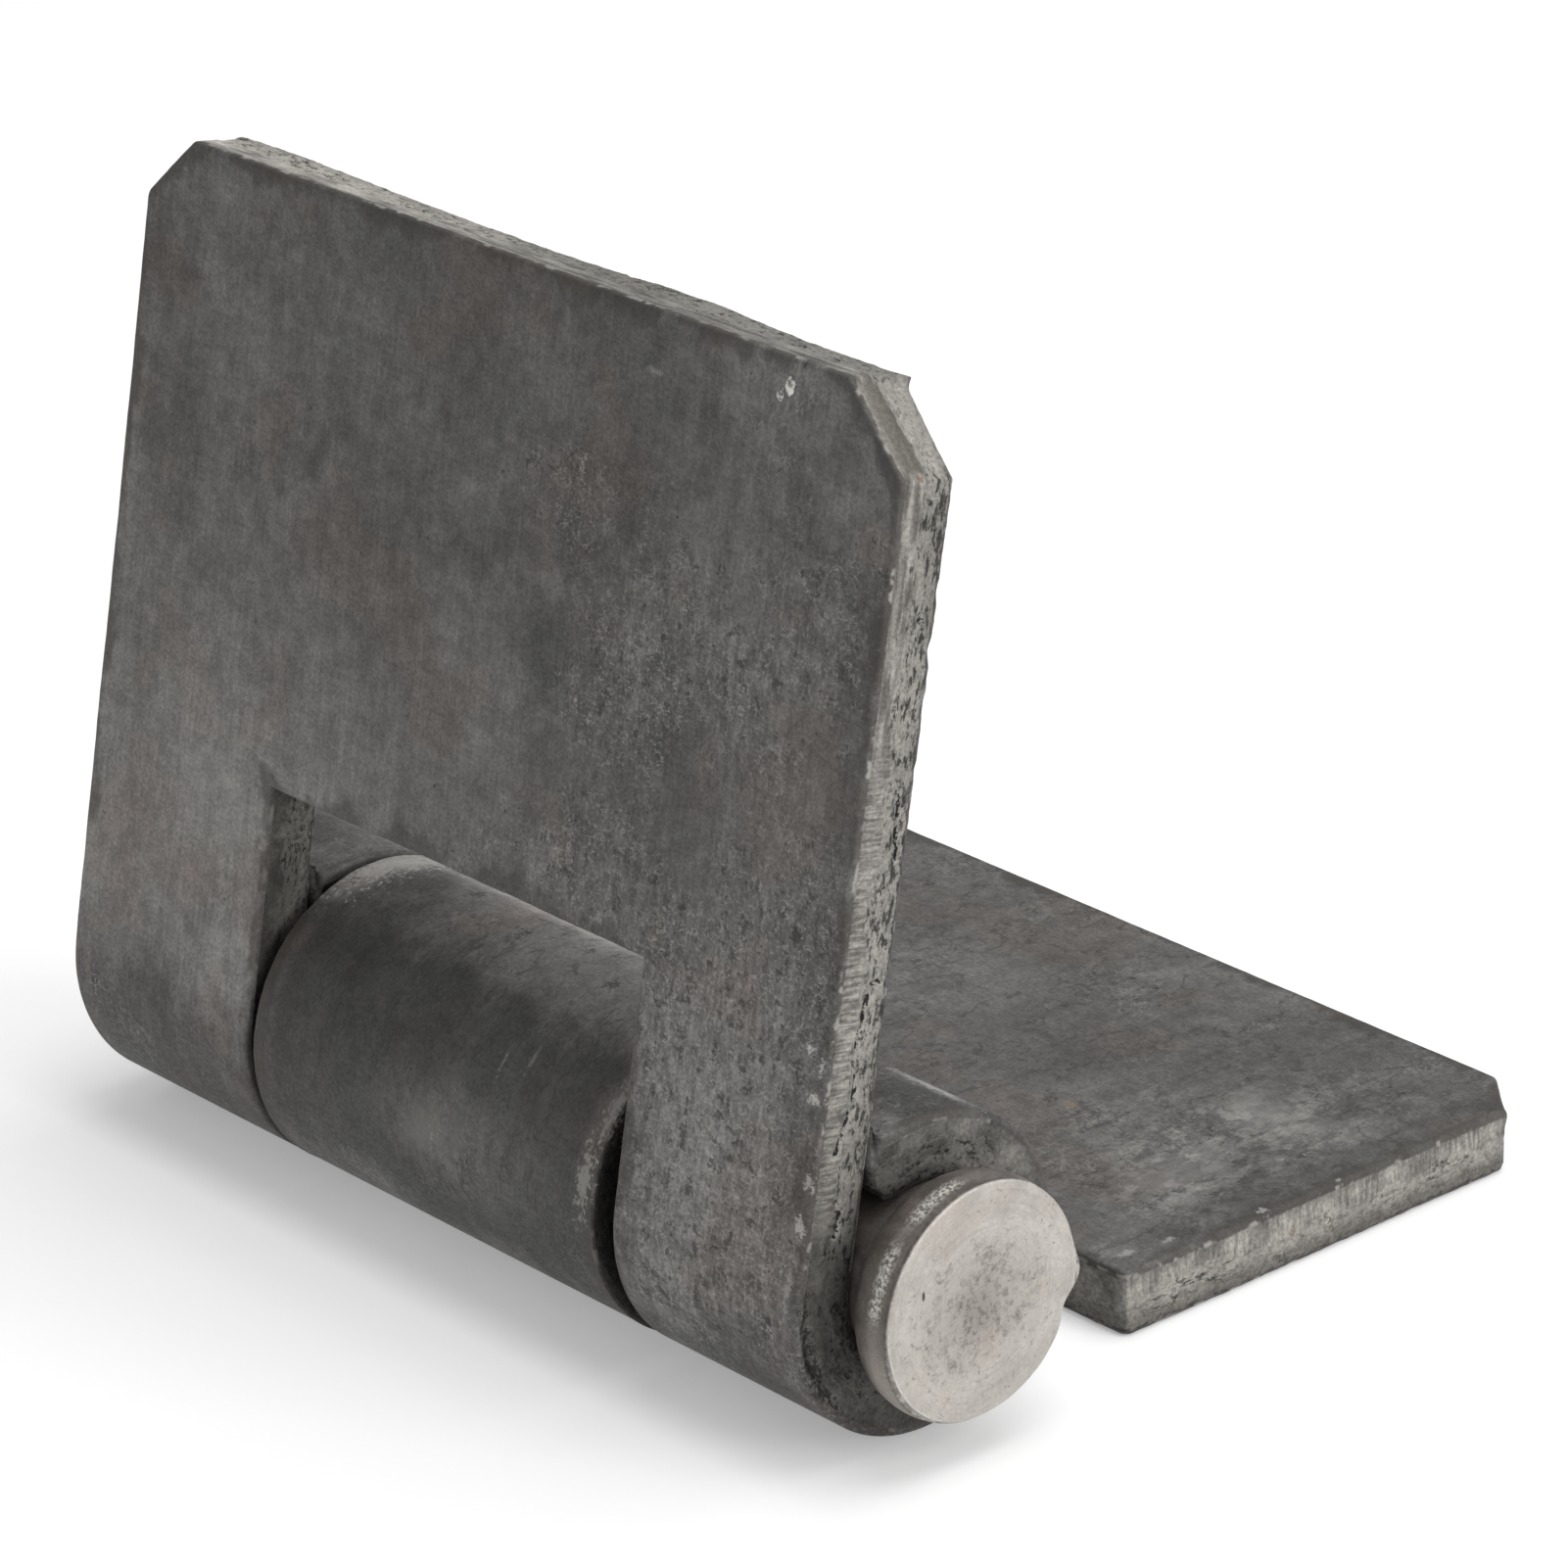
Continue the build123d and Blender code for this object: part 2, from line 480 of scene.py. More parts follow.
def make_leaf(name, outline, shear, place_on_sheet, body):
    """Shear, roll and place one leaf, in the stead of its CAD solid."""
    bm = sheared_plate(outline)
    shear_edges(bm, **shear)
    tell_fresh_unshaded_cuts(bm)
    keep_sheet_place(bm, place_on_sheet)
    roll(bm)
    bmesh.ops.transform(bm, matrix=leaf_matrix(mounts[body + "_weld_face"]), verts=bm.verts[:])
    leaf = finished_object(name, bm)
    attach(leaf, body + "_leaf")
    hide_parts(body + "_leaf")
    return leaf


# %% The standing leaf
swing_shear = {
    "fillets": corner_fillets(
        swing_outline, {0: 0.5, 1: 0.4, 2: 0.7, 3: 1.2, 4: 1.2, 5: 1.2, 8: 1.2, 9: 1.2}
    ),
    "dents": [
        ((-half, 2.0), 5.0, 0.8, 1.2, -0.15),
        ((-half, 8.0), 22.0, 0.8, 1.8, -0.3),
        ((-28.0, leaf_reach), 11.0, plate, 1.5, -0.28),
        ((13.0, leaf_reach), 7.0, plate, 1.5, -0.35),
        ((half, -4.5), 3.0, 0.75, 0.35, 0.45),
        ((half, 42.2), 0.7, plate, 0.5, 0.25),
        ((half, 43.4), 0.6, 1.2, 0.3, 0.18),
    ],
    "pulls": [((*swing_outline[1], plate), 0.7, (0.8, 0.1, 0.1))],
    "cracks": [
        [(33.2, 3.2), (32.0, 3.45), (30.5, 3.5), (28.8, 3.75)],
        [(20.8, 3.8), (20.6, 2.9), (18.1, 2.65), (15.9, 2.3), (14.0, 2.75), (12.6, 2.65), (9.5, 1.65)],
        [(6.2, 2.35), (5.0, 2.8), (3.9, 2.6)],
        [(44.6, 3.1), (43.9, 3.5)],
    ],
    "tear": 1.0,
    "lip_round": 0.15,
    "from_inside": False,
}
swinging_leaf = make_leaf("swinging_leaf", swing_outline, swing_shear, Vector(), "swing")

# %% The lying leaf
lying_sheet = Vector((240, 130, 0))  # its place on the sheet, clear of the standing leaf
fixed_shear = {
    "fillets": corner_fillets(
        fixed_outline, {0: 0.4, 1: 0.7, 2: 0.9, 3: 0.9, 4: 0.8, 6: 1.2, 7: 1.2, 9: 0.8}
    ),
    "dents": [
        ((half, 26.0), 26.0, 3.8, 2.4, -0.22),
        ((half - 1.2, leaf_reach - 1.0), 0.7, 0.3, 0.7, 0.22),
    ],
    "pulls": [((*fixed_outline[0], 0.5), 0.6, (0.12, 0.12, 0.0))],
    "cracks": [],
    "tear": 0.5,
    "lip_round": 0.2,
    "from_inside": True,
}
lying_leaf = make_leaf("lying_leaf", fixed_outline, fixed_shear, lying_sheet, "fixed")

# %% [markdown]
# ## The pin
#
# The pin is turned bar with a head formed at one end and an upset end that keeps it in. One half
# of its long section is drawn from the axis outwards and spun round it, which is how a lathe would
# see it. The head isn't perfectly round, because it was hammered: its cage is moved a little, a
# burr is pulled out of its rim, and a subdivision surface rounds the rest.

# %% Spin the pin
head_face = pin_high.x / MM
tail_face = pin_low.x / MM
head_radius = (pin_high.z - pin_low.z) / 2 / MM
shaft_radius = 6.35
head_thickness = 4.4
tail_thickness = 2.6
tail_radius = 8.1
head_seat = head_face - head_thickness
tail_seat = tail_face + tail_thickness
pin_steps = 96

pin_profile = [
    (head_face - 0.2, 0),
    (head_face - 0.19, 1.6),
    (head_face - 0.12, 3.6),
    (head_face - 0.03, 5.6),
    (head_face, 7.0),
    (head_face - 0.01, head_radius - 0.42),
    (head_face - 0.06, head_radius - 0.24),
    (head_face - 0.22, head_radius - 0.1),
    (head_face - 1.4, head_radius),
    (head_face - 2.6, head_radius - 0.15),
    (head_seat + 0.7, head_radius - 0.6),
    (head_seat + 0.05, head_radius - 1.3),
    (head_seat, shaft_radius + 0.3),
    (head_seat - 0.1, shaft_radius),
    (head_seat - 0.6, shaft_radius),
    (tail_seat + 0.6, shaft_radius),
    (tail_seat + 0.1, shaft_radius),
    (tail_seat, shaft_radius + 0.3),
    (tail_seat, tail_radius - 0.2),
    (tail_seat - 0.2, tail_radius),
    (tail_seat - 1.2, tail_radius - 0.1),
    (tail_face + 0.35, tail_radius - 0.8),
    (tail_face, tail_radius - 2.0),
    (tail_face, 3.0),
    (tail_face, 0),
]

print(len(pin_profile), "points on the pin's half section")

bm = bmesh.new()
points = [bm.verts.new((x, 0, r)) for x, r in pin_profile]
section = [bm.edges.new(pair) for pair in zip(points, points[1:])]
bmesh.ops.spin(
    bm, geom=points + section, cent=(0, 0, 0), axis=along_pin, angle=2 * pi, steps=pin_steps, use_merge=True
)
bmesh.ops.remove_doubles(bm, verts=bm.verts[:], dist=1e-4)

# %% Hammer the head
hammer_marks = [(-5, 9, 0.5), (-21, 9, -0.5), (42, 20, -0.08), (-142, 26, 0.25)]


def hammered(angle):
    """How far the rim stands out at an angle round the pin, in degrees."""
    change = 0.0
    for place, width, out in hammer_marks:
        turn = (angle - place + 180) % 360 - 180
        change += out * exp(-((turn / width) ** 2))
    return change


for vert in bm.verts:
    x, y, z = vert.co
    radius = hypot(y, z)
    if x < head_seat + 0.2 or radius < 1e-6:
        continue
    across = Vector((0, y, z)) / radius
    uneven = 0.07 * noise.noise(1.6 * across) + 0.04 * noise.noise(6 * across)
    struck = hammered(degrees(atan2(z, y))) * soft_step(radius, head_radius - 1.6, head_radius - 0.3)
    vert.co += across * (uneven * radius / head_radius + struck)
    vert.co.x += 0.06 * noise.noise((0.4 * y, 0.4 * z, 3)) * soft_step(radius, 0, 3)

pin_place = Matrix.Translation((0, pin_axis.y, pin_axis.z)) @ Matrix.Scale(MM, 4)
bmesh.ops.transform(bm, matrix=pin_place, verts=bm.verts[:])
headed_pin = finished_object("headed_pin", bm, sharp_angle=180)
smoothing = headed_pin.modifiers.new("round", "SUBSURF")
smoothing.levels = 2
smoothing.render_levels = 2
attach(headed_pin, "hinge_pin")
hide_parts("hinge_pin")

# %% [markdown]
# ## A chip pressed into the face
#
# Near its upper right corner the standing leaf carries a bright chip: a bead of metal with a
# ragged flake beside it, pressed on when the corner was cropped. Each is a flattened ball with a
# noisy surface, sunk halfway into the plate so that it sits on it from any side.

# %% Make the chip
chip_place = (27.2, 56.5)
swing_place = leaf_matrix(mounts["swing_weld_face"])


def pressed_flake(bm, centre, size, seed):
    """Add one ragged flake to a bmesh: a small ball, flattened and broken up by noise."""
    ball = bmesh.ops.create_icosphere(bm, subdivisions=3, radius=1.0)["verts"]
    for vert in ball:
        vert.co *= 1 + 0.28 * noise.noise(1.9 * vert.co + Vector((seed, 0, 0)))
    bmesh.ops.scale(bm, vec=size, verts=ball)
    bmesh.ops.translate(bm, vec=centre, verts=ball)


bm = bmesh.new()
pressed_flake(bm, (chip_place[0] - 0.55, chip_place[1] - 0.45, -knuckle_radius), (0.3, 0.46, 0.22), 1.0)
pressed_flake(bm, (chip_place[0] + 0.2, chip_place[1] + 0.25, -knuckle_radius), (0.45, 0.6, 0.18), 5.0)
bmesh.ops.transform(bm, matrix=swing_place, verts=bm.verts[:])
pressed_chip = finished_object("pressed_chip", bm)
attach(pressed_chip, "swing_leaf")

# %% [markdown]
# ## Mixing a finish
#
# Every finish here is mixed from a few kinds of node: noise for blotches, a soft step to turn
# noise into patches, a round gradient for a spot at a given place, and mixes to lay one colour over
# another. A small class gives them short names, so that a finish reads like a recipe. Noise and
# gradients are moved and stretched by their own mapping, which renders faster than separate nodes.
# Colours are written as they look on a screen.

# %% A bench for finishes
def shade(red, green, blue):
    """A colour as it looks on a screen, 0 to 255, in the linear values that a shader uses."""
    return tuple(((v / 255 + 0.055) / 1.055) ** 2.4 for v in (red, green, blue)) + (1.0,)


seed_step = 37.0  # how far apart the noises of two seeds are taken
spot_reach = 2.0  # a spot is measured out to twice its size, for its ragged parts


class Finish:
    """A material being mixed."""

    def __init__(self, name):
        self.material = bpy.data.materials.new(name)
        self.material.use_nodes = True
        self.tree = self.material.node_tree
        self.surface = self.tree.nodes["Principled BSDF"]

    def plug(self, socket, value):
        """Link a socket to another one, or set its value."""
        if isinstance(value, bpy.types.NodeSocket):
            self.tree.links.new(value, socket)
        else:
            socket.default_value = value

    def add(self, kind, sockets, **settings):
        """Add a node with its settings, and plug in its sockets."""
        made = self.tree.nodes.new("ShaderNode" + kind)
        for key, value in settings.items():
            setattr(made, key, value)
        for key, value in sockets.items():
            self.plug(made.inputs[key], value)
        return made

    def kept(self, name):
        """A value that the mesh keeps on its points: a vector for the sheet, else a number."""
        made = self.add("Attribute", {}, attribute_name=name)
        return made.outputs["Vector" if name == "sheet" else "Fac"]

    def blotches(self, place, scale, stretch=(1, 1, 1), detail=4.0, rough=0.6, seed=0.0):
        """Noise from 0 to 1, with about this many blotches to a millimetre."""
        made = self.add("TexNoise", {"Vector": place, "Scale": scale, "Detail": detail, "Roughness": rough})
        made.texture_mapping.scale = stretch
        made.texture_mapping.translation = (seed_step * seed,) * 3
        return made.outputs[0]

    def patch(self, value, low, high, bottom=0.0, top=1.0):
        """A soft step from bottom to top, as value goes from low to high."""
        sockets = {"Value": value, "From Min": low, "From Max": high, "To Min": bottom, "To Max": top}
        return self.add("MapRange", sockets, interpolation_type="SMOOTHSTEP").outputs[0]

    def sum(self, how, first, second):
        """One sum of two numbers, such as ADD or MULTIPLY."""
        return self.add("Math", {0: first, 1: second}, operation=how).outputs[0]

    def product(self, *values):
        """All the values multiplied together."""
        made = values[0]
        for value in values[1:]:
            made = self.sum("MULTIPLY", made, value)
        return made

    def threads(self, value, width):
        """Thin winding lines, where noise passes through its middle."""
        shifted = self.sum("SUBTRACT", value, 0.5)
        away = self.add("Math", {0: shifted}, operation="ABSOLUTE").outputs[0]
        return self.patch(away, 0.0, width, 1.0, 0.0)

    def away_from(self, place, spots, ragged=0.0):
        """0 in the middle of the nearest spot and 1 at its edge, which may be made ragged."""
        near = None
        for centre, size in spots:
            ball = self.add("TexGradient", {0: place}, gradient_type="SPHERICAL")
            reach = [spot_reach * length for length in size]
            ball.texture_mapping.scale = [1 / far for far in reach]
            ball.texture_mapping.translation = [-middle / far for middle, far in zip(centre, reach)]
            inside = ball.outputs["Fac"]
            near = inside if near is None else self.sum("MAXIMUM", near, inside)
        sockets = {0: near, 1: -spot_reach, 2: self.sum("ADD", ragged, spot_reach)}
        return self.add("Math", sockets, operation="MULTIPLY_ADD").outputs[0]

    def over(self, cover, under, colour, how="MIX"):
        """Lay a colour over another one, as much as cover says."""
        sockets = {0: cover, 6: under, 7: colour}
        return self.add("Mix", sockets, data_type="RGBA", blend_type=how).outputs[2]

    def times(self, colour, gain):
        """A colour made lighter or darker by a number."""
        return self.over(1.0, colour, gain, "MULTIPLY")

    def relief(self, height, depth_mm):
        """Turn a height from 0 to 1 into fine relief of this depth."""
        sockets = {"Height": height, "Distance": depth_mm * MM, "Strength": 1.0}
        self.plug(self.surface.inputs["Normal"], self.add("Bump", sockets).outputs[0])

    def tell(self, what):
        """Print what has just been mixed in."""
        print(f"{self.material.name}: {what}, {len(self.tree.nodes)} nodes so far")


# %% [markdown]
# ## Mill scale and sheared steel
#
# Hot rolling leaves a dark oxide on plate: cloudy at the scale of a thumb, streaked along the
# rolling direction and stained a little brown. Where it has been handled it is scuffed, with fine
# hairlines and bright grains, and dark veins run over the lying leaf. Where the plate was sheared,
# bare steel shows, with faint lines through the thickness on the burnished band and dark cracks
# along the broken band. One material makes both, mixed by the distance from the cut that each point
# carries, so the line between them can wander as it does on the real plate. Places are millimetres
# on the flat sheet, so the streaks follow the tongues round.

# %% Clouds, streaks and stains
leaf_finish = Finish("mill_scale_and_sheared_steel")
sheet = leaf_finish.kept("sheet")
cut_distance = leaf_finish.kept("from_cut")
fresh_unshaded_cut = leaf_finish.kept("fresh_unshaded")
layer_depth = leaf_finish.kept("into_cut")
on_sheet = leaf_finish.add("SeparateXYZ", {0: sheet}).outputs
on_lying = leaf_finish.patch(on_sheet[0], 100.0, 110.0)
on_standing = leaf_finish.patch(on_lying, 0.0, 1.0, 1.0, 0.0)

clouds = leaf_finish.blotches(sheet, 0.055, detail=5, rough=0.66)
warmth = leaf_finish.blotches(sheet, 0.08, detail=2, seed=3)
streaks = leaf_finish.blotches(sheet, 0.45, stretch=(1, 0.12, 1), detail=3, seed=1)
fine_streaks = leaf_finish.blotches(sheet, 2.2, stretch=(1, 0.14, 1), detail=3, rough=0.65, seed=18)
mottle = leaf_finish.blotches(sheet, 0.3, detail=5, rough=0.62, seed=13)
stains = leaf_finish.blotches(sheet, 0.22, stretch=(1, 0.5, 1), detail=4, rough=0.66, seed=6)
grit = leaf_finish.blotches(sheet, 3.6, detail=3, rough=0.7, seed=10)

scale_colour = leaf_finish.over(
    leaf_finish.patch(clouds, 0.32, 0.68), shade(96, 95, 93), shade(120, 119, 116)
)
brown = leaf_finish.patch(warmth, 0.46, 0.66, top=0.6)
scale_colour = leaf_finish.over(brown, scale_colour, shade(108, 99, 95))
stained = leaf_finish.patch(stains, 0.54, 0.74, top=0.5)
scale_colour = leaf_finish.over(stained, scale_colour, shade(72, 68, 65))
scale_colour = leaf_finish.times(scale_colour, leaf_finish.patch(streaks, 0.32, 0.68, 0.91, 1.08))
streaked = leaf_finish.times(scale_colour, leaf_finish.patch(fine_streaks, 0.3, 0.7, 0.89, 1.11))
scale_colour = leaf_finish.over(on_standing, scale_colour, streaked)
scale_colour = leaf_finish.times(scale_colour, leaf_finish.patch(mottle, 0.3, 0.7, 0.91, 1.08))
blots = leaf_finish.blotches(sheet, 0.9, stretch=(0.8, 1, 1), detail=3, rough=0.62, seed=16)
scale_colour = leaf_finish.times(scale_colour, leaf_finish.patch(blots, 0.4, 0.6, 0.9, 1.1))
scale_colour = leaf_finish.times(scale_colour, leaf_finish.patch(grit, 0.3, 0.7, 0.8, 1.2))
leaf_finish.tell("clouds, streaks and stains")

# %% Lighter and darker areas, some of them painted shade and painted highlights
soft_edge = leaf_finish.sum(
    "ADD", leaf_finish.patch(clouds, 0.3, 0.7, -0.3, 0.3), leaf_finish.patch(mottle, 0.3, 0.7, -0.3, 0.3)
)
standing_areas = [
    ((-25, 10, 0), (30, 26, 3), 1.55, 0.2),
    ((-6, 52, 0), (60, 26, 3), 0.8, 0.2),
    ((11, 34, 0), (6, 15, 3), 0.8, 0.2),
    ((30, 6, 0), (16, 20, 3), 1.24, 0.2),
    ((28, 10, 0), (8, 12, 3), 1.22, 0.2),
    # painted shade on the underside of the right bend, which faces down
    ((30, -7, 0), (18, 8, 3), 0.5, 0.2),
    ((37, 24, 0), (3.5, 40, 3), 0.78, 0.2),
    # painted shade on the underside of the left bend, which faces down
    ((-30, -5, 0), (24, 9, 3), 0.52, 0.2),
    ((34, -42.5, 0), (12, 6, 3), 0.5, 0.2),
    ((31, -37.0, 0), (14, 5, 3), 0.55, 0.4),
    ((-24, -41, 0), (14, 9, 3), 0.72, 0.2),
]
lying_areas = [
    # darker scale on the middle knuckle, and painted shade on its front below the lit top
    ((0.6, -16.5, 0), (40, 10.5, 3.5), 0.5, 0.6),
    ((5, -15, 0), (11, 5, 3), 1.7, 0.2),
    # painted highlight on the top of the knuckle's left end
    ((-17.2, -29.5, 0), (3.4, 5.5, 3), 2.4, 0.3),
    # painted highlight along the knuckle's left edge
    ((-17.3, -16, 0), (2.4, 12, 3), 1.6, 0.2),
    ((-13, -27.5, 0), (3.0, 3.0, 3), 0.55, 0.2),
    # painted highlight along the top of the knuckle, in this row and the next
    ((-4, -32, 0), (12, 2.6, 3), 1.5, 0.2),
    ((3, -32, 0), (16, 5, 3), 1.7, 0.2),
    ((18.4, -20, 0), (2.2, 5.5, 3), 1.8, 0.2),
    ((0, 36, plate), (70, 50, 3), 0.93, 0.6),
    ((27.5, 42, plate), (6, 5, 3), 1.7, 0.1),
    ((29.5, 30, plate), (6, 7, 3), 1.6, 0.1),
    ((36, 38, plate), (3.5, 24, 3), 0.7, 0.3),
]


def on_lying_leaf(rows):
    """A list with its places moved to the lying leaf's part of the sheet."""
    return [(lying_sheet + Vector(place), *rest) for place, *rest in rows]


areas = standing_areas + on_lying_leaf(lying_areas)
scale_gain = 1.0
for centre, size, gain, start in areas:
    away = leaf_finish.away_from(sheet, [(centre, size)], leaf_finish.product(soft_edge, 1 - start))
    scale_gain = leaf_finish.product(scale_gain, leaf_finish.patch(away, start, 1.0, gain, 1.0))
scale_colour = leaf_finish.times(scale_colour, scale_gain)
print(len(areas), "areas of the scale made lighter or darker")

# %% Where the scale has been handled
standing_handled = [
    ((24, 22, 0), (24, 38, 3), 0.14),
    ((29, 8, 0), (16, 24, 3), 0.14),
    ((-26, 38, 0), (38, 44, 3), -0.3),
]
lying_handled = [
    ((4, -14.5, 0), (13, 5, 3), 0.04),
    ((2, -25, 0), (20, 7, 3), -0.3),
    ((28, 34, plate), (10, 14, 3), 0.1),
]
handled = leaf_finish.blotches(sheet, 0.1, detail=3, seed=5)
for centre, size, more in standing_handled + on_lying_leaf(lying_handled):
    away = leaf_finish.away_from(sheet, [(centre, size)])
    handled = leaf_finish.sum("ADD", handled, leaf_finish.patch(away, 0.3, 1.0, more, 0.0))
leaf_finish.tell("handled places")

# %% Scuffs, veins and flakes
scuffs = leaf_finish.blotches(sheet, 1.7, stretch=(1, 0.4, 1), detail=4, rough=0.72, seed=20)
scuffed = leaf_finish.times(scale_colour, leaf_finish.patch(scuffs, 0.36, 0.64, 0.72, 1.3))
scale_colour = leaf_finish.over(leaf_finish.patch(handled, 0.44, 0.7), scale_colour, scuffed)

across_bend = leaf_finish.blotches(sheet, 1.9, stretch=(0.14, 1, 1), detail=3, rough=0.68, seed=21)
from_bend = leaf_finish.away_from(sheet, [((29, -2, 0), (13, 12, 3))])
brushed = leaf_finish.times(scale_colour, leaf_finish.patch(across_bend, 0.36, 0.64, 0.84, 1.16))
scale_colour = leaf_finish.over(leaf_finish.patch(from_bend, 0.5, 1.0, 1.0, 0.0), scale_colour, brushed)

breaks = leaf_finish.blotches(sheet, 0.9, detail=1, seed=11)
vein_field = leaf_finish.blotches(sheet, 0.15, stretch=(1.4, 0.8, 1), detail=4, rough=0.58, seed=19)
veins = leaf_finish.product(
    leaf_finish.threads(vein_field, 0.022),
    leaf_finish.patch(breaks, 0.4, 0.52),
    leaf_finish.product(on_lying, 0.6),
)
scale_colour = leaf_finish.over(veins, scale_colour, shade(62, 59, 57))

flakes = leaf_finish.blotches(sheet, 0.42, stretch=(1.2, 0.8, 1), detail=3, rough=0.6, seed=22)
flaked = leaf_finish.times(scale_colour, leaf_finish.patch(flakes, 0.43, 0.55, 0.72, 1.24))
from_pale = leaf_finish.away_from(sheet, on_lying_leaf([((29, 37, plate), (8, 16, 3))]))
scale_colour = leaf_finish.over(leaf_finish.patch(from_pale, 0.5, 1.0, 1.0, 0.0), scale_colour, flaked)
leaf_finish.tell("scuffs, veins and flakes")

# %% Hairlines, bright grains and pits
hair_field = leaf_finish.blotches(sheet, 1.3, stretch=(0.7, 1.2, 1), detail=3, rough=0.55, seed=2)
hairs = leaf_finish.product(
    leaf_finish.threads(hair_field, 0.026),
    leaf_finish.patch(breaks, 0.48, 0.58),
    leaf_finish.patch(handled, 0.44, 0.72, 0.0, 0.7),
)
scale_colour = leaf_finish.over(hairs, scale_colour, shade(176, 174, 170))
grains = leaf_finish.product(
    leaf_finish.patch(grit, 0.55, 0.66), leaf_finish.patch(handled, 0.5, 0.76, 0.0, 0.45)
)
scale_colour = leaf_finish.over(grains, scale_colour, shade(162, 160, 156))
pits = leaf_finish.blotches(sheet, 0.9, detail=4, rough=0.74, seed=14)
pits = leaf_finish.sum("ADD", pits, leaf_finish.patch(handled, 0.4, 0.75, -0.06, 0.05))
pits = leaf_finish.patch(pits, 0.61, 0.67, top=0.7)
scale_colour = leaf_finish.over(pits, scale_colour, shade(50, 48, 46))
leaf_finish.tell("hairlines, grains and pits")

# %% The stained band along the edges
band_edge = leaf_finish.sum("ADD", cut_distance, leaf_finish.patch(stains, 0.3, 0.7, -1.2, 1.2))
band = leaf_finish.patch(band_edge, -1.5, -0.3, top=0.65)
scale_colour = leaf_finish.over(band, scale_colour, shade(70, 65, 61))
leaf_finish.tell("a stained band")

# %% Burnished and broken walls
smooth_cut = leaf_finish.product(on_standing, leaf_finish.patch(on_sheet[1], 32.0, 39.0))
outer_wall = leaf_finish.patch(on_sheet[1], leaf_reach - 1.5, leaf_reach - 0.8)
outer_wall = leaf_finish.product(on_standing, outer_wall)
lines = leaf_finish.blotches(sheet, 3.8, stretch=(1, 1, 0.14), detail=3, seed=4)
strokes = leaf_finish.blotches(sheet, 1.4, stretch=(0.2, 0.2, 1.3), detail=2, seed=17)
lines = leaf_finish.add("Mix", {0: smooth_cut, 2: lines, 3: strokes}).outputs[0]
faint = leaf_finish.patch(fresh_unshaded_cut, 0.62, 0.95, 1.0, 0.0)
faint = leaf_finish.sum("MAXIMUM", faint, leaf_finish.product(on_lying, 0.45))
lines = leaf_finish.add("Mix", {0: faint, 2: lines, 3: mottle}).outputs[0]
chips = leaf_finish.blotches(sheet, 1.9, stretch=(0.7, 0.7, 1.2), detail=5, rough=0.72, seed=7)
dashes = leaf_finish.blotches(sheet, 1.5, stretch=(0.45, 0.45, 1.5), detail=4, rough=0.68, seed=15)
smears = leaf_finish.blotches(sheet, 0.3, detail=2, seed=8)
crack_field = leaf_finish.blotches(sheet, 0.5, stretch=(0.45, 0.45, 1.6), detail=4, rough=0.62, seed=12)
cracks = leaf_finish.product(leaf_finish.threads(crack_field, 0.024), leaf_finish.patch(smears, 0.5, 0.64))

burnished_colour = leaf_finish.over(
    leaf_finish.patch(lines, 0.32, 0.68), shade(104, 101, 96), shade(166, 163, 157)
)
unchipped = leaf_finish.patch(chips, 0.36, 0.48)
unchipped = leaf_finish.sum("MAXIMUM", unchipped, leaf_finish.product(on_lying, 0.6))
broken_colour = leaf_finish.over(unchipped, shade(62, 60, 57), shade(152, 149, 143))
broken_colour = leaf_finish.over(cracks, broken_colour, shade(44, 42, 40))
break_line = leaf_finish.sum("ADD", layer_depth, leaf_finish.patch(smears, 0.3, 0.7, -0.6, 0.6))
wall_colour = leaf_finish.over(
    leaf_finish.patch(break_line, plate * 0.42, plate * 0.5), burnished_colour, broken_colour
)
# painted shade where the wall rolls over into the face, and the wall darker towards its far face
wall_colour = leaf_finish.times(wall_colour, leaf_finish.patch(layer_depth, 0.4, 1.3, 0.86, 1.06))
wall_colour = leaf_finish.times(wall_colour, leaf_finish.patch(layer_depth, 2.6, 4.4, 1.0, 0.86))
lying_foot = leaf_finish.product(on_lying, leaf_finish.patch(layer_depth, 2.4, 4.2, 0.0, 0.55))
wall_colour = leaf_finish.over(lying_foot, wall_colour, shade(84, 79, 73))
wall_colour = leaf_finish.times(wall_colour, leaf_finish.patch(mottle, 0.35, 0.65, 0.88, 1.12))
leaf_finish.tell("burnished and broken walls")

# %% Dashes, and the painted shadow of the burr along the far edge
cropped = Vector((half - swing_cuts[0][0] / 2, leaf_reach - swing_cuts[0][1] / 2, 0))
from_cropped = leaf_finish.away_from(sheet, [(cropped, (3.6, 3.6, 9))])
denser = leaf_finish.patch(layer_depth, plate * 0.2, plate * 0.7, -0.1, 0.04)
dashes = leaf_finish.product(
    leaf_finish.patch(leaf_finish.sum("ADD", dashes, denser), 0.56, 0.62, top=0.9),
    leaf_finish.patch(fresh_unshaded_cut, 0.6, 0.95),
    leaf_finish.patch(on_lying, 0.0, 1.0, 1.0, 0.3),
    leaf_finish.patch(outer_wall, 0.0, 1.0, 1.0, 0.3),
    leaf_finish.patch(from_cropped, 0.8, 1.05, 0.15, 1.0),
)
wall_colour = leaf_finish.over(dashes, wall_colour, shade(52, 50, 47))
